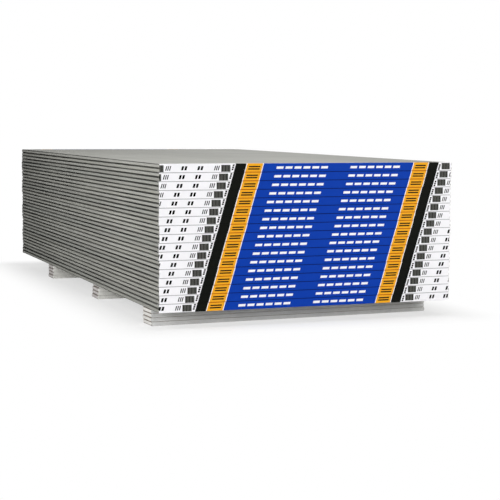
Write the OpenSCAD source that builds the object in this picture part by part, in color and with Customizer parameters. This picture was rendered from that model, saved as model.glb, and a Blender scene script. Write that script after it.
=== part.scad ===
// Stack of drywall sheets with tapered edges. The sheets lie face to face in pairs, and each pair
// is bound at both ends by a folded paper tape. The stack stands on three risers, each of them
// glued up from strips of board. X runs across the sheets, Y along them and Z up.
// The origin is on the floor, under the middle of the stack, and the front end faces -Y.

/* [Sheet] */
// Width of a sheet, over its two tapered edges
sheet_w = 1219.2; // [900:0.1:1372]
// Length of a sheet, between its two cut ends
sheet_l = 2438.4; // [2200:0.1:4268]
// Thickness of a sheet
sheet_t = 15.9; // [9.5:0.1:25.4]
// Width of the tapered strip along each long edge of the face
taper_w = 60; // [40:1:80]
// Depth of the taper at the very edge
taper_d = 1.9; // [0.5:0.1:2.3]
// Radius of the paper-wrapped corners of each long edge
edge_r = 5; // [0.5:0.1:6]

/* [Stack] */
// Number of bundles, of two sheets each
bundle_count = 17; // [2:1:20]
// Farthest that a bundle lies out of line with the stack
bundle_play = 1.5; // [0:0.1:5]

/* [End tape] */
// Thickness of the tape
tape_t = 0.3; // [0.1:0.05:0.5]
// Length of tape that is folded onto the back of each sheet
tape_lap = 20; // [8:1:50]
// Distance of the tape's ends from the long edges of the sheets
tape_inset = 1.5; // [0.5:0.1:6]
// Clearance between the tapes of two neighbouring bundles
tape_gap = 0.1; // [0.05:0.05:0.5]

/* [Risers] */
// Length of a riser, across the stack
riser_l = 1205; // [600:1:1210]
// Width of a riser, along the stack
riser_w = 100; // [60:1:150]
// Number of strips glued on each other in a riser
riser_plies = 4; // [2:1:5]
// Thickness of a strip
strip_t = 15.9; // [9.5:0.1:25.4]
// Farthest that the end of a strip lies back from the end of its riser
end_play = 15; // [0:0.1:20]
// Farthest that the side of a strip lies back from the side of its riser
side_play = 3; // [0:0.1:8]
// Distance of the risers from the left side of the stack
riser_inset = 3; // [3:0.1:12]
// Turn of the front riser, which lies a little out of square, in degrees
front_turn = 2.2; // [0:0.1:4]
// Overhang of the sheets in front of the first riser
front_overhang = 105; // [60:1:300]
// Distance between the fronts of neighbouring risers
riser_pitch = 817; // [500:1:900]

/* [Hidden] */
riser_names = ["front", "middle", "rear"];
riser_h = riser_plies * strip_t;

sheets_per_bundle = 2;
sheet_count = sheets_per_bundle * bundle_count;
bundle_t = sheets_per_bundle * sheet_t;
// Each bundle rests on the folded tape of the one below it
bundle_pitch = bundle_t + 2 * tape_t + tape_gap;

// Slope of the taper, and the middle of the round corner that it runs into.
// Both corners of a long edge stay round on a thin sheet too.
taper_angle = atan(taper_d / taper_w);
corner_r = min(edge_r, 0.45 * (sheet_t - taper_d));
face_corner_z = sheet_t - taper_d + corner_r * tan(taper_angle) - corner_r / cos(taper_angle);
corner_steps = 6;

tape_w = sheet_w - 2 * tape_inset;

// Angles that spread the places of the bundles and strips without repeating
turn_across = 97;
turn_along = 61;

// How far the left end of each strip lies back, as a share of end_play, from the lowest strip up
end_shares = [
    [0.13, 0, 0.07, 0],
    [0.53, 0.67, 0.73, 1],
    [0, 0.07, 0, 0.07]
];

sheet_grey = "#9d9d97";
tape_blue = "#1440b8";
gypsum_white = "#d6d2cd";

function two_digits(n) = n < 10 ? str("0", n) : str(n);
function sheet_name(i) = str("sheet_", two_digits(i + 1));
function strip_name(riser, ply) = str(riser_names[riser], "_riser_strip_", ply + 1);

function arc(centre, r, start, end, steps) = [
    for (step = [0 : steps])
        let (a = start + (end - start) * step / steps)
            centre + r * [cos(a), sin(a)]
];

function mirrored(points) = [for (i = [len(points) - 1 : -1 : 0]) [-points[i][0], points[i][1]]];

// Cross-section of the long edge at +X, from the back round both corners to the end of the taper
edge_outline = concat(
    arc([sheet_w / 2 - corner_r, corner_r], corner_r, -90, 0, corner_steps),
    arc([sheet_w / 2 - corner_r, face_corner_z], corner_r, 0, 90 - taper_angle, corner_steps),
    [[sheet_w / 2 - taper_w, sheet_t]]
);

// Place of a bundle, counted from the lowest, with its own share of the play
function bundle_place(bundle) = [
    bundle_play * sin(bundle * turn_across),
    bundle_play * cos(bundle * turn_along),
    riser_h + bundle * bundle_pitch
];

// How far a strip lies back from the left end and from the front of its riser
function end_setback(riser, ply) = end_play * end_shares[riser][ply % len(end_shares[riser])];
function side_setback(riser, ply) = side_play * (1 + sin((riser * riser_plies + ply) * turn_along)) / 2;

// A sheet that lies on its back, with its face up
module face_up_sheet() {
    rotate([90, 0, 0])
        linear_extrude(sheet_l, center = true)
            polygon(concat(edge_outline, mirrored(edge_outline)));
}

// Sheet i of the stack, counted from the lowest: the upper one of each bundle lies face down
module sheet(i) {
    color(sheet_grey)
        translate(bundle_place(floor(i / sheets_per_bundle)))
            if (i % sheets_per_bundle == 0) {
                face_up_sheet();
            } else {
                translate([0, 0, bundle_t])
                    mirror([0, 0, 1])
                        face_up_sheet();
            }
}

// The tape at the -Y end of one bundle: it covers both cut ends and folds onto both backs
module end_tape() {
    translate([0, -sheet_l / 2, 0])
        rotate([90, 0, 90])
            linear_extrude(tape_w, center = true)
                polygon([
                    [tape_lap, -tape_t],
                    [tape_lap, 0],
                    [0, 0],
                    [0, bundle_t],
                    [tape_lap, bundle_t],
                    [tape_lap, bundle_t + tape_t],
                    [-tape_t, bundle_t + tape_t],
                    [-tape_t, -tape_t]
                ]);
}

module front_end_tapes() {
    color(tape_blue)
        for (bundle = [0 : bundle_count - 1])
            translate(bundle_place(bundle))
                end_tape();
}

module rear_end_tapes() {
    color(tape_blue)
        for (bundle = [0 : bundle_count - 1])
            translate(bundle_place(bundle))
                mirror([0, 1, 0])
                    end_tape();
}

// One strip of a riser, which turns about the front left corner of the riser
module riser_strip(riser, ply) {
    left = -sheet_w / 2 + riser_inset;
    front = -sheet_l / 2 + front_overhang + riser * riser_pitch;
    color(gypsum_white)
        translate([left, front, ply * strip_t])
            rotate([0, 0, riser == 0 ? front_turn : 0])
                translate([end_setback(riser, ply), side_setback(riser, ply), 0])
                    cube([riser_l - end_play, riser_w - side_play, strip_t]);
}

for (riser = [0 : len(riser_names) - 1], ply = [0 : riser_plies - 1])
    riser_strip(riser, ply);
for (i = [0 : sheet_count - 1])
    sheet(i);
front_end_tapes();
rear_end_tapes();
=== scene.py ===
"""Looks of a stack of drywall sheets: taped in pairs, on risers glued up from strips of board."""
import itertools
import math
from typing import NamedTuple

import bpy
from mathutils import Matrix, Vector, noise


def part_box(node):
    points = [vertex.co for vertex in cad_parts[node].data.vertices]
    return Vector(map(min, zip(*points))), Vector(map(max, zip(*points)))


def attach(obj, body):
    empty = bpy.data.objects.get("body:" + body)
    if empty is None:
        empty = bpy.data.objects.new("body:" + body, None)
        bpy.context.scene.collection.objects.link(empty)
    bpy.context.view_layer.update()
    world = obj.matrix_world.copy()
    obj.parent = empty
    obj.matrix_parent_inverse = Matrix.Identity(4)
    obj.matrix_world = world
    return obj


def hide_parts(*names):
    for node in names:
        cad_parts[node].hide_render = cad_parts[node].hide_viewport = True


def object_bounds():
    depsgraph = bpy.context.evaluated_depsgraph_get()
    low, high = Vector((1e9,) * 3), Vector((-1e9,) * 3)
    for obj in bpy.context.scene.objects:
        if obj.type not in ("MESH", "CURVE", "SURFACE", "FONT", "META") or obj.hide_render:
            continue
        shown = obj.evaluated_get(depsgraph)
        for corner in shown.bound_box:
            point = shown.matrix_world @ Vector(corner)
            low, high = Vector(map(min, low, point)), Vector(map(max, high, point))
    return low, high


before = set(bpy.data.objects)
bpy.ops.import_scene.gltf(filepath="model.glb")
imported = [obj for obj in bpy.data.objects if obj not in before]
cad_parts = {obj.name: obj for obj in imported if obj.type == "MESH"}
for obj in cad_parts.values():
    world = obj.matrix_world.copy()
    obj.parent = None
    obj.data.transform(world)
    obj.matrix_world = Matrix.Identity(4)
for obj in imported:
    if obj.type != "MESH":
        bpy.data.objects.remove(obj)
cad_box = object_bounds()

# Nodes of the frame, from the lowest sheet up. Each bundle has two sheets
SHEETS = sorted(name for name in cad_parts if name.startswith("sheet_"))
STRIPS = sorted(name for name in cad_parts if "_riser_strip_" in name)
BUNDLES = len(SHEETS) // 2

# Sizes are in metres
MM = 0.001

# End tapes: paper, the fold round the edge of a bundle, and the loose fit over the cut ends
TAPE_T = 0.3 * MM
TAPE_LAP = 20 * MM
TAPE_SIDE_GAP = 1.5 * MM
FOLD_R = 0.6 * MM
FOLD_STEPS = 3
# Width of the painted shade on the face next to a fold, for the shade in the crease between bundles
FOLD_SHADE_W = 0.7 * MM
TAPE_MESH_T = TAPE_T * 0.9
TAPE_BULGE = 0.35 * MM
TAPE_WRINKLE = 0.12 * MM

# Strips of the risers: round edges, rough sawn ends, wavy sides, crushed corners and the paper that shows
STRIP_ROUND = 0.8 * MM
STRIP_CELLS = (14 * MM, 10 * MM, 2.1 * MM)
END_ROUGHNESS = 0.9 * MM
SIDE_WAVE = 0.3 * MM
CRUSH_DEPTH = 3 * MM
CRUSH_H = 5 * MM
CRUSH_L = 12 * MM
END_PAPER_H = 2.2 * MM
SIDE_PAPER_H = 1.3 * MM
FRONT_RISER_TURN = math.radians(2.2)

# The print on the tape, measured from its middle: a field, and then bands towards both ends.
# From row to row it leans by SLANT, at PRINT_LEVEL it is off the middle by PRINT_SHIFT, and each tape
# was put on a little out of line, by up to PRINT_PLAY
SLANT = 0.29
PRINT_LEVEL = 339.8 * MM
PRINT_SHIFT = 43.3 * MM
PRINT_PLAY = 0.4 * MM
PLAY_STEP = 2.4
PRINT_REACH = 740 * MM
FIELD_HALF = 317 * MM
LINE_W = 3 * MM
STRIPE_W = 64 * MM
BAR_W = 43 * MM
WIDEST_CELL = 45 * MM
# Parts of the print whose marks stand upright, where the others lean with the bands
UPRIGHT = ((447.5 * MM, 484.1 * MM), (709.4 * MM, 746 * MM))

# Inks, as indexes of a tape's materials. Each has a painted shade for the folds between bundles,
# INK_COUNT later
WHITE, BLUE, ORANGE, BLACK, GREY = range(5)
INK_COUNT = 5

# Looks of a riser's strips, as indexes of their materials
END_EDGE, END, SIDE, SIDE_EDGE = range(4)

# Painted shade on the round corners of a sheet's long edges, for the shade in the creases between sheets,
# by how far outward the surface faces, from 0 to 1: it starts past the flat faces, and thins out towards
# the edge, farther round at the back of the sheet
SHADE_STARTS = (0.06, 0.12)
FACE_SHADE_ENDS = (0.6, 0.82)
BACK_SHADE_ENDS = (0.77, 0.965)
# From the middle of the stack to its rear end, outward counts for less, so the painted shade reaches
# farther round
SHADE_REACH = (1.0, 0.86)
# Its strength in patches, its strength from the front end to the rear one (painted shade, darker to the
# rear), and the most of it
SHADE_PATCHES = (0.5, 1.24)
SHADE_ALONG = (0.95, 1.15)
MOST_SHADE = 0.98

# Paper and gypsum hardly shine
MATT = 0.06
TAPE_SHINE = 0.05

# The camera, fitted to the corners of the stack
IMAGE_SIDE = 500
SENSOR_W = 36.0
FOCAL_PIXELS = 1361.9
CAMERA_PLACE = Vector((-2.1027, -5.9991, 0.7772))
CAMERA_YAW = math.radians(21.204)
CAMERA_PITCH = math.radians(-5.439)
CAMERA_ROLL = math.radians(-0.365)
FARTHEST = 200

# The floor, and the distances from the object between which it fades to white
FLOOR_HALF = 30.0
FLOOR_FADE = (-0.03, 0.24)


def srgb(red, green, blue):
    """A colour given in 0 to 255, as linear values."""
    def linear(c):
        c /= 255
        return c / 12.92 if c <= 0.04045 else ((c + 0.055) / 1.055) ** 2.4

    return (linear(red), linear(green), linear(blue), 1.0)


def shade(colour, factor):
    """A darker shade of a linear colour."""
    return (colour[0] * factor, colour[1] * factor, colour[2] * factor, 1.0)


class Tree:
    """Short calls that add nodes to the tree of a material or of the world."""

    def __init__(self, owner):
        owner.use_nodes = True
        self.nodes = owner.node_tree.nodes
        self.links = owner.node_tree.links

    def feed(self, socket, value):
        """Gives a socket a plain value, or links it to another node's output."""
        if isinstance(value, bpy.types.NodeSocket):
            self.links.new(value, socket)
        else:
            socket.default_value = value

    def node(self, kind, inputs=None, **settings):
        made = self.nodes.new(kind)
        for key, value in settings.items():
            setattr(made, key, value)
        for key, value in (inputs or {}).items():
            self.feed(made.inputs[key], value)
        return made

    def calc(self, operation, *values):
        return self.node("ShaderNodeMath", dict(enumerate(values)), operation=operation).outputs[0]

    def vector_calc(self, operation, *values):
        return self.node("ShaderNodeVectorMath", dict(enumerate(values)), operation=operation).outputs

    def place(self, stretch=(1, 1, 1)):
        """The place on the object, in metres, stretched along the axes."""
        where = self.node("ShaderNodeTexCoord").outputs["Object"]
        return self.node("ShaderNodeMapping", {"Vector": where, "Scale": stretch}).outputs["Vector"]

    def noise(self, scale, detail=4.0, roughness=0.55, stretch=(1, 1, 1)):
        inputs = {"Vector": self.place(stretch), "Scale": scale, "Detail": detail, "Roughness": roughness}
        return self.node("ShaderNodeTexNoise", inputs).outputs["Fac"]

    def spread(self, value, low, high, start=0.3, end=0.7, kind="LINEAR"):
        """value from start to end, mapped to low to high."""
        inputs = {"Value": value, "From Min": start, "From Max": end, "To Min": low, "To Max": high}
        return self.node("ShaderNodeMapRange", inputs, interpolation_type=kind).outputs["Result"]

    def product(self, *values):
        result = values[0]
        for value in values[1:]:
            result = self.calc("MULTIPLY", result, value)
        return result

    def background_rays(self):
        """1 for the rays that see the background white: from the camera, in gloss and through glass."""
        rays = self.node("ShaderNodeLightPath").outputs
        bounced = self.calc("MAXIMUM", rays["Is Glossy Ray"], rays["Is Transmission Ray"])
        return self.calc("MAXIMUM", rays["Is Camera Ray"], bounced)


class Material(Tree):
    """A material with a Principled shader."""

    def __init__(self, name):
        self.material = bpy.data.materials.new(name)
        super().__init__(self.material)
        self.shader = self.nodes["Principled BSDF"]

    def set(self, socket, value):
        self.feed(self.shader.inputs[socket], value)

    def set_shaded(self, colour, factor):
        """Gives the surface a colour, times a factor that varies over it."""
        inputs = {"Vector": colour[:3], "Scale": factor}
        scaled = self.node("ShaderNodeVectorMath", inputs, operation="SCALE")
        self.set("Base Color", scaled.outputs["Vector"])

    def set_bump(self, height, distance, strength):
        inputs = {"Height": height, "Distance": distance, "Strength": strength}
        self.set("Normal", self.node("ShaderNodeBump", inputs).outputs["Normal"])


def edge_painted_shade(made, back):
    """How much of the paper's own colour the long edges of a sheet keep, from 0 to 1. Their round corners
    get painted shade in patches, for the shade in the creases between sheets: more towards the rear end,
    and farther round at the back of the sheet than at its tapered face.
    back is the way that the back faces: 1 for up and -1 for down."""
    normal = made.node("ShaderNodeTexCoord").outputs["Normal"]
    facing = made.node("ShaderNodeSeparateXYZ", {"Vector": normal}).outputs
    along = made.node("ShaderNodeSeparateXYZ", {"Vector": made.place()}).outputs["Y"]
    reach = made.spread(along, *SHADE_REACH, 0.0, cad_box[1].y)
    outward = made.product(made.calc("ABSOLUTE", facing["X"]), reach)
    at_back = made.spread(facing["Z"], 0.0, 1.0, -0.2 * back, 0.2 * back)
    off_flat = made.spread(outward, 0.0, 1.0, *SHADE_STARTS)
    ends = [made.spread(at_back, *pair, 0.0, 1.0) for pair in zip(FACE_SHADE_ENDS, BACK_SHADE_ENDS)]
    off_edge = made.spread(outward, 1.0, 0.0, *ends)
    patches = made.spread(made.noise(1.0, 3.0, 0.6, stretch=(2, 1.6, 60)), *SHADE_PATCHES, 0.33, 0.67)
    to_rear = made.spread(along, *SHADE_ALONG, cad_box[0].y, cad_box[1].y)
    # Painted shade: darkens the round edge corners where the sheets meet, more towards the rear end
    painted_shade = made.product(off_flat, off_edge, patches, to_rear)
    return made.spread(painted_shade, 1.0, 1.0 - MOST_SHADE, 0.0, MOST_SHADE)


def board_paper(name, colour, back=0):
    """Grey recycled paper: cloudy, faintly streaked along the sheet, with fine fibres. The paper of a
    whole sheet, whose back faces up (1) or down (-1), has painted shade along its edges."""
    made = Material(name)
    cloud = made.spread(made.noise(2.2, 5.0, 0.6), 0.93, 1.07)
    streak = made.spread(made.noise(1.0, 4.0, 0.6, stretch=(38, 0.7, 38)), 0.95, 1.05)
    fibres = made.noise(900.0, 3.0, 0.6, stretch=(1, 0.35, 1))
    factors = [cloud, streak, made.spread(fibres, 0.95, 1.05)]
    if back:
        # The sheet's long edges get painted shade
        factors.append(edge_painted_shade(made, back))
    made.set_shaded(colour, made.product(*factors))
    made.set("Roughness", made.spread(made.noise(160.0), 0.82, 0.95))
    made.set("Specular IOR Level", MATT)
    made.set_bump(fibres, 0.15 * MM, 0.5)
    return made.material


def printed_paper(name, colour):
    """Tape paper under one ink: even in colour, with the paper's tooth in its gloss and surface."""
    made = Material(name)
    tooth = made.noise(700.0, 3.0, 0.6)
    made.set("Base Color", colour)
    made.set("Roughness", made.spread(tooth, 0.5, 0.66))
    made.set("Specular IOR Level", TAPE_SHINE)
    made.set_bump(tooth, 0.06 * MM, 0.4)
    return made.material


def gypsum(name, colour):
    """Sawn gypsum: off-white, powdery, pitted."""
    made = Material(name)
    cloud = made.spread(made.noise(14.0, 5.0, 0.6), 0.92, 1.05)
    grains = made.noise(420.0, 6.0, 0.7)
    made.set_shaded(colour, made.product(cloud, made.spread(grains, 0.88, 1.06)))
    made.set("Roughness", 0.95)
    made.set("Specular IOR Level", MATT)
    made.set_bump(grains, 0.6 * MM, 0.8)
    return made.material


def torn_paper(name, colour):
    """The brownish paper that shows along the cut edges of a strip: stained and fuzzy."""
    made = Material(name)
    stain = made.spread(made.noise(45.0, 5.0, 0.65), 0.72, 1.12)
    fuzz = made.noise(800.0, 4.0, 0.7)
    made.set_shaded(colour, made.product(stain, made.spread(fuzz, 0.85, 1.1)))
    made.set("Roughness", 0.95)
    made.set("Specular IOR Level", MATT)
    made.set_bump(fuzz, 0.4 * MM, 0.7)
    return made.material


def tape_inks():
    """The tape's paper in each ink, and then in a darker painted shade of each ink, for the folds that
    lie against the next bundle.
    """
    flat = {
        "white": srgb(243, 242, 245),
        "blue": srgb(9, 59, 164),
        "orange": srgb(236, 166, 36),
        "black": srgb(10, 12, 8),
        "grey": srgb(96, 96, 92),
    }
    # Painted shade for the creases between bundles: each ink darkened, the orange as a deeper red-orange
    fold_shades = {
        "white": shade(flat["white"], 0.45),
        "blue": shade(flat["blue"], 0.22),
        "orange": srgb(164, 64, 4),
        "black": shade(flat["black"], 0.45),
        "grey": shade(flat["grey"], 0.45),
    }
    inks = [printed_paper(f"tape_{ink}", colour) for ink, colour in flat.items()]
    return inks + [printed_paper(f"tape_{ink}_fold", colour) for ink, colour in fold_shades.items()]


def riser_looks():
    """The materials of each riser's strips, in the order of END_EDGE, END, SIDE and SIDE_EDGE."""
    torn = torn_paper("torn_paper", srgb(158, 151, 144))
    white = gypsum("white_gypsum", srgb(236, 234, 230))
    brownish = gypsum("brownish_gypsum", srgb(219, 214, 213))
    # Near-white, lighter than the front riser's paper: partly the gypsum's own tone, partly painted light
    # for the middle and rear risers' faces, which lie in the stack's shade
    smooth = gypsum("lightened_smooth_gypsum", srgb(246, 245, 240))
    paper = board_paper("strip_paper", srgb(202, 202, 201))
    return {
        "front": (torn, white, paper, torn),
        "middle": (torn, brownish, smooth, smooth),
        "rear": (torn, brownish, smooth, smooth),
    }


def new_piece(name, vertices, faces, face_materials, materials):
    mesh = bpy.data.meshes.new(name)
    mesh.from_pydata(vertices, [], faces)
    for material in materials:
        mesh.materials.append(material)
    mesh.polygons.foreach_set("material_index", face_materials)
    mesh.polygons.foreach_set("use_smooth", [True] * len(faces))
    mesh.update()
    piece = bpy.data.objects.new(name, mesh)
    bpy.context.scene.collection.objects.link(piece)
    return piece


class Mark(NamedTuple):
    """An area of the half of the print that runs from the middle to one end. The other half has the same
    marks, turned upside down."""
    start: float
    end: float
    low: float
    high: float
    ink: int


class Band(NamedTuple):
    """A band over the whole height of the print, in the same half as the marks."""
    start: float
    end: float
    ink: int


def bars(start, count, width, pitch, low, high, ink):
    """A run of plain bars, a pitch apart."""
    return [Mark(start + n * pitch, start + n * pitch + width, low, high, ink) for n in range(count)]


def bar_block(start, end):
    """A block of thin dark lines on grey, with every third one wider."""
    low, high = -11.5 * MM, 14 * MM
    pitch = 4.3 * MM
    thin = bars(start, 9, 1.7 * MM, pitch, low, high, BLACK)
    wide = bars(start + pitch, 3, 3 * MM, 3 * pitch, low, high, BLACK)
    return thin + wide + [Mark(start, end, low, high, GREY)]


def tape_marks():
    """Plain bars and blocks, evenly spaced, in the inks of the bands that they lie on."""
    marks = bars(48 * MM, 6, 28 * MM, 37 * MM, -4.5 * MM, 4.5 * MM, WHITE)
    stripe = FIELD_HALF + LINE_W
    for low in (-7 * MM, 2 * MM):
        marks.append(Mark(stripe + 9 * MM, stripe + 55 * MM, low, low + 5 * MM, BLACK))
    for low in (-13.2 * MM, -5.4 * MM, 2.4 * MM):
        marks.append(Mark(434 * MM, 441.5 * MM, low, low + 6.4 * MM, BLACK))
    for start, end in UPRIGHT:
        marks += bar_block(start, end)
    for start in (492 * MM, 682 * MM):
        marks += bars(start, 3, 4 * MM, 7.4 * MM, -8.5 * MM, 8.5 * MM, BLACK)
    for start in (556 * MM, 619 * MM):
        marks += bars(start, 2, 8.5 * MM, 12.5 * MM, -7.5 * MM, 7.5 * MM, BLACK)
    return marks


def tape_bands():
    """The bands, from the middle towards an end. The last one fills the rest."""
    widths = (
        (FIELD_HALF, BLUE), (LINE_W, WHITE), (STRIPE_W, ORANGE), (LINE_W, WHITE), (BAR_W, BLACK),
        (PRINT_REACH, WHITE),
    )
    bands = []
    reach = 0.0
    for width, ink in widths:
        bands.append(Band(reach, reach + width, ink))
        reach += width
    return bands


MARKS = tape_marks()
BANDS = tape_bands()


def ink_at(across, up):
    """The ink at a place of the print, measured from the middle of its row."""
    if across < 0:
        across, up = -across, -up
    for mark in MARKS:
        if mark.start < across < mark.end and mark.low < up < mark.high:
            return mark.ink
    for band in BANDS:
        if across < band.end:
            return band.ink
    return WHITE


def column_lines():
    """Places across the print where a cell ends, with no cell wider than WIDEST_CELL."""
    edges = {0.0, *itertools.chain(*UPRIGHT)}
    for area in MARKS + BANDS:
        edges |= {area.start, area.end}
    first, *others = sorted(edge for edge in edges if edge < PRINT_REACH)
    half = [first]
    for edge in others:
        last = half[-1]
        cells = math.ceil((edge - last) / WIDEST_CELL)
        half += [last + (edge - last) * k / cells for k in range(1, cells + 1)]
    return [-line for line in reversed(half[1:])] + half


def row_lines():
    """Places in the upper half of a row where a cell ends."""
    edges = {0.0}
    for mark in MARKS:
        edges |= {abs(mark.low), abs(mark.high)}
    return sorted(edges)


COLUMNS = column_lines()
ROW_LINES = row_lines()


class Station(NamedTuple):
    """A line across a tape: its way along the tape from the middle of the row, and its place."""
    way: float
    out: float
    height: float


class TapePath(NamedTuple):
    """The stations of a tape, half the height of its flat face, and half the way from fold to fold."""
    stations: list
    flat: float
    fold: float


def tape_path(low, high):
    """The outside of a tape, from its lower free edge round the cut ends to its upper one."""
    flat = (high - low) / 2 + TAPE_T - FOLD_R
    arc = FOLD_R * math.pi / 2
    lap = TAPE_LAP + TAPE_T - FOLD_R
    fold_out = TAPE_T - FOLD_R
    middle = (low + high) / 2
    upper = [Station(line, TAPE_T, middle + line) for line in ROW_LINES + [flat - FOLD_SHADE_W]]
    for step in range(FOLD_STEPS + 1):
        part = step / FOLD_STEPS
        turn = math.pi / 2 * part
        out = fold_out + FOLD_R * math.cos(turn)
        upper.append(Station(flat + arc * part, out, middle + flat + FOLD_R * math.sin(turn)))
    for part in (0.5, 1.0):
        upper.append(Station(flat + arc + lap * part, fold_out - lap * part, high + TAPE_T))
    lower = [Station(-s.way, s.out, 2 * middle - s.height) for s in reversed(upper[1:])]
    return TapePath(lower + upper, flat, flat + arc)


def looseness(x, bundle, end, way, flat):
    """How far a tape stands off the cut ends of its bundle: it swells and wrinkles between the folds."""
    spot = Vector((x * 9.0, bundle * 3.7, way * 20.0 + end))
    swell = max(0.0, 1 - (way / flat) ** 2)
    bulge = TAPE_BULGE * swell * (0.7 + 0.6 * noise.noise(spot))
    wrinkle = TAPE_WRINKLE * swell * noise.noise(spot * 4.3)
    return max(0.0, bulge + wrinkle)


def tape_grid(bundle, end, path):
    """The vertices of a tape, and the number of the vertex at each station and column. Columns past an
    end of the tape are drawn in to it, where they share their vertices."""
    low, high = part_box(SHEETS[2 * bundle])
    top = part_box(SHEETS[2 * bundle + 1])[1].z
    cut = low.y if end < 0 else high.y
    left, right = low.x + TAPE_SIDE_GAP, high.x - TAPE_SIDE_GAP
    row_level = (low.z + top) / 2 - PRINT_LEVEL
    shift = PRINT_SHIFT + PRINT_PLAY * math.sin(bundle * PLAY_STEP + end)
    vertices, numbers, grid = [], {}, []
    for row, station in enumerate(path.stations):
        line = []
        for column in COLUMNS:
            upright = any(start <= abs(column) <= stop for start, stop in UPRIGHT)
            lean = 0.0 if upright else max(-path.flat, min(path.flat, station.way))
            x = max(left, min(right, -end * (column + shift + SLANT * (row_level + lean))))
            key = (row, round(x, 6))
            if key not in numbers:
                numbers[key] = len(vertices)
                out = station.out + looseness(x, bundle, end, station.way, path.flat)
                vertices.append((x, cut + end * out, station.height))
            line.append(numbers[key])
        grid.append(line)
    return vertices, grid


def tape_cells(bundle, path, grid):
    """The faces between the stations and columns of a tape, and their inks. A fold has painted shade
    where it lies against the fold of the next bundle, for the shade in the crease between them."""
    faces, inks = [], []
    for row, (station, after) in enumerate(itertools.pairwise(path.stations)):
        up = (station.way + after.way) / 2
        neighbour = bundle + (1 if up > 0 else -1)
        # Painted shade in the crease where this fold meets the next bundle's fold
        shaded_fold = path.flat - FOLD_SHADE_W < abs(up) < path.fold and 0 <= neighbour < BUNDLES
        for c, (column, following) in enumerate(itertools.pairwise(COLUMNS)):
            corners = (grid[row][c], grid[row][c + 1], grid[row + 1][c + 1], grid[row + 1][c])
            corners = list(dict.fromkeys(corners))
            if len(corners) < 3:
                continue
            faces.append(corners)
            inks.append(ink_at((column + following) / 2, up) + (INK_COUNT if shaded_fold else 0))
    return faces, inks


def end_tape(bundle, end, inks):
    """The tape over one end of a bundle. end is -1 for the front and 1 for the rear."""
    path = tape_path(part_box(SHEETS[2 * bundle])[0].z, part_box(SHEETS[2 * bundle + 1])[1].z)
    vertices, grid = tape_grid(bundle, end, path)
    faces, face_inks = tape_cells(bundle, path, grid)
    where = "front" if end < 0 else "rear"
    piece = new_piece(f"{where}_end_tape_{bundle + 1:02d}", vertices, faces, face_inks, inks)
    thick = piece.modifiers.new("thickness", "SOLIDIFY")
    thick.thickness = TAPE_MESH_T
    thick.offset = -1
    piece.modifiers.new("flat_faces", "WEIGHTED_NORMAL")
    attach(piece, "root")
    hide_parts(f"{where}_end_tapes")


def axis_lines(low, high, cell):
    """Places along one axis of a strip: close together at its round edges, about a cell apart between."""
    near = [0.0, 0.3 * STRIP_ROUND, 0.65 * STRIP_ROUND, STRIP_ROUND]
    inner = high - low - 2 * STRIP_ROUND
    cells = max(1, round(inner / cell))
    between = [STRIP_ROUND + inner * k / cells for k in range(1, cells)]
    far = [high - low - n for n in reversed(near)]
    return [low + d for d in near + between + far]


def strip_point(at, half, centre):
    """A point of a strip: round at the edges, rough where it is sawn and crushed at the ends. at is
    measured from the strip's centre, and half is half the size of the strip."""
    inner = half - Vector((STRIP_ROUND, STRIP_ROUND, STRIP_ROUND))
    core = Vector([min(max(at[a], -inner[a]), inner[a]) for a in range(3)])
    out = (at - core).normalized()
    spot = at + centre
    rough = noise.noise(spot * 55) + 0.5 * noise.noise(spot * 160) + 0.4 * noise.noise(spot * 14)
    worn = (END_ROUGHNESS * abs(out.x) + SIDE_WAVE * abs(out.y)) * max(0.0, 0.5 + 0.5 * rough)
    near_edge = max(0.0, 1 - (half.z - abs(at.z)) / CRUSH_H)
    near_end = max(0.0, 1 - (half.x - abs(at.x)) / CRUSH_L)
    crush = CRUSH_DEPTH * near_edge ** 1.5 * near_end
    return core + out * (STRIP_ROUND - worn) - Vector((math.copysign(crush, at.x), 0, 0))


def shell_cells(last):
    """The cells all over a box of grid lines, where last has the number of the last line on each axis:
    the axis that a cell faces along, and the line numbers of its corners."""
    for a in range(3):
        b, c = (a + 1) % 3, (a + 2) % 3
        for end, p, q in itertools.product((0, last[a]), range(last[b]), range(last[c])):
            corners = []
            for dp, dq in ((0, 0), (1, 0), (1, 1), (0, 1)):
                at = [end, end, end]
                at[b], at[c] = p + dp, q + dq
                corners.append(tuple(at))
            yield a, corners if end else corners[::-1]


def strip_look(axis, from_edge):
    """The look of a cell: paper shows near the upper and lower edge of a strip."""
    if axis == 1:
        return SIDE_EDGE if from_edge < SIDE_PAPER_H else SIDE
    return END_EDGE if from_edge < END_PAPER_H else END


def riser_strip(node, looks):
    """A strip that was sawn from a board. The strips of the front riser are turned, so their size is
    taken from the ones of the middle riser."""
    riser, ply = node.split("_riser_strip_")
    centre = sum(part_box(node), Vector()) / 2
    square_low, square_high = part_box(f"middle_riser_strip_{ply}")
    half = (square_high - square_low) / 2
    turn = Matrix.Rotation(FRONT_RISER_TURN if riser == "front" else 0.0, 3, "Z")
    lines = [axis_lines(-half[a], half[a], STRIP_CELLS[a]) for a in range(3)]
    vertices, numbers, faces, face_looks = [], {}, [], []
    for axis, corners in shell_cells([len(line) - 1 for line in lines]):
        for corner in corners:
            if corner not in numbers:
                numbers[corner] = len(vertices)
                at = Vector([lines[a][corner[a]] for a in range(3)])
                vertices.append(strip_point(at, half, centre))
        face = [numbers[corner] for corner in corners]
        faces.append(face)
        level = sum(vertices[v].z for v in face) / len(face)
        face_looks.append(strip_look(axis, half.z - abs(level)))
    placed = [tuple(turn @ v + centre) for v in vertices]
    piece = new_piece(f"rough_{node}", placed, faces, face_looks, looks[riser])
    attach(piece, "root")
    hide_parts(node)


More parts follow.
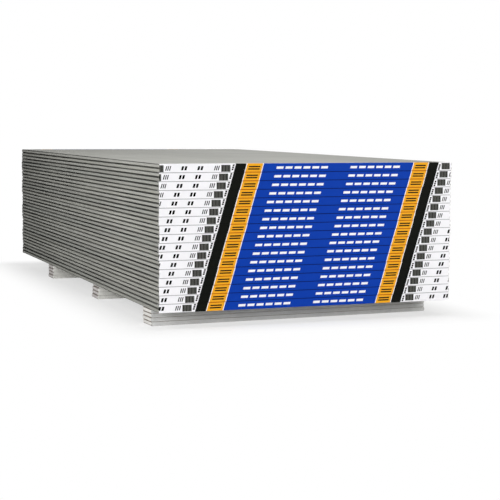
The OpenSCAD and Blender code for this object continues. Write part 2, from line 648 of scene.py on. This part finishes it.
def dress_sheets():
    """The sheets keep their own shape. Boards of one batch differ a little in shade."""
    greys = [srgb(166, 166, 159), srgb(159, 159, 153), srgb(171, 171, 165), srgb(163, 164, 158)]
    lower = [board_paper(f"lower_sheet_paper_{n}", grey, -1) for n, grey in enumerate(greys)]
    upper = [board_paper(f"upper_sheet_paper_{n}", grey, 1) for n, grey in enumerate(greys)]
    for number, name in enumerate(SHEETS, 1):
        papers = lower if number % 2 else upper
        # The shades follow each other out of order
        paper = papers[number * 5 % 7 % len(papers)]
        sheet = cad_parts[name]
        sheet.data.materials.clear()
        sheet.data.materials.append(paper)


def floor():
    """A pale floor that keeps the object's shadow and fades to plain white around it."""
    made = Material("floor")
    made.set("Base Color", srgb(246, 246, 245))
    made.set("Roughness", 0.9)
    made.set("Specular IOR Level", 0.1)
    way = made.vector_calc("ABSOLUTE", made.place())["Vector"]
    past = made.vector_calc("SUBTRACT", way, list(cad_box[1]))["Vector"]
    outside = made.vector_calc("MAXIMUM", past, (0, 0, 0))["Vector"]
    distance = made.vector_calc("LENGTH", outside)["Value"]
    fade = made.spread(distance, 0.6, 1.0, *FLOOR_FADE, kind="SMOOTHSTEP")
    seen = made.product(fade, made.background_rays())
    white = made.node("ShaderNodeEmission", {"Color": (1, 1, 1, 1), "Strength": 1.0}).outputs["Emission"]
    layers = {0: seen, 1: made.shader.outputs["BSDF"], 2: white}
    mixed = made.node("ShaderNodeMixShader", layers).outputs["Shader"]
    made.feed(made.nodes["Material Output"].inputs["Surface"], mixed)
    h = FLOOR_HALF
    corners = [(-h, -h, 0), (h, -h, 0), (h, h, 0), (-h, h, 0)]
    new_piece("floor", corners, [(0, 1, 2, 3)], [0], [made.material])


def surround():
    """A world that is seen white, and lights the object softly."""
    world = bpy.data.worlds.new("surround")
    bpy.context.scene.world = world
    made = Tree(world)
    soft = made.nodes["Background"]
    soft.inputs["Color"].default_value = (1, 1, 1, 1)
    soft.inputs["Strength"].default_value = 0.1
    plain = made.node("ShaderNodeBackground", {"Color": (1, 1, 1, 1)})
    layers = {0: made.background_rays(), 1: soft.outputs[0], 2: plain.outputs[0]}
    mixed = made.node("ShaderNodeMixShader", layers).outputs["Shader"]
    made.feed(made.nodes["World Output"].inputs["Surface"], mixed)


def lamp(name, place, target, size, power):
    """A soft lamp, turned to its target."""
    light = bpy.data.lights.new(name, "AREA")
    light.shape = "RECTANGLE"
    light.size, light.size_y = size
    light.energy = power
    made = bpy.data.objects.new(name, light)
    made.visible_camera = False
    made.location = place
    made.rotation_euler = (Vector(target) - Vector(place)).to_track_quat("-Z", "Y").to_euler()
    bpy.context.scene.collection.objects.link(made)


def lamps():
    lamp("key_softbox", (-4.9, -5.2, 1.95), (-0.3, -0.8, 0.3), (1.5, 1.5), 137)
    lamp("right_softbox", (2.8, -5.4, 1.4), (0.2, -1.2, 0.3), (1.5, 1.5), 115)
    lamp("left_softbox", (-2.4, -1.2, 1.7), (-0.6, -0.6, 0.3), (1.4, 1.2), 21)
    lamp("top_softbox", (0.3, -1.3, 4.4), (0, -0.5, 0.6), (3.0, 3.0), 82)
    lamp("rear_softbox", (2.6, 5.6, 1.3), (0.2, 0.9, 0.3), (2.0, 1.6), 150)


def camera():
    forward = Vector((
        math.sin(CAMERA_YAW) * math.cos(CAMERA_PITCH),
        math.cos(CAMERA_YAW) * math.cos(CAMERA_PITCH),
        math.sin(CAMERA_PITCH),
    ))
    level_right = Vector((math.cos(CAMERA_YAW), -math.sin(CAMERA_YAW), 0))
    level_down = forward.cross(level_right)
    right = math.cos(CAMERA_ROLL) * level_right + math.sin(CAMERA_ROLL) * level_down
    up = right.cross(forward)
    made = bpy.data.objects.new("camera", bpy.data.cameras.new("camera"))
    made.data.sensor_width = SENSOR_W
    made.data.lens = FOCAL_PIXELS * SENSOR_W / IMAGE_SIDE
    made.data.clip_end = FARTHEST
    facing = Matrix((right, up, -forward)).transposed().to_4x4()
    made.matrix_world = Matrix.Translation(CAMERA_PLACE) @ facing
    bpy.context.scene.collection.objects.link(made)
    bpy.context.scene.camera = made


dress_sheets()
tape_materials = tape_inks()
for bundle_number in range(BUNDLES):
    end_tape(bundle_number, -1, tape_materials)
    end_tape(bundle_number, 1, tape_materials)
strip_materials = riser_looks()
for strip_node in STRIPS:
    riser_strip(strip_node, strip_materials)
floor()
surround()
lamps()
camera()
bpy.context.scene.view_settings.view_transform = "Standard"
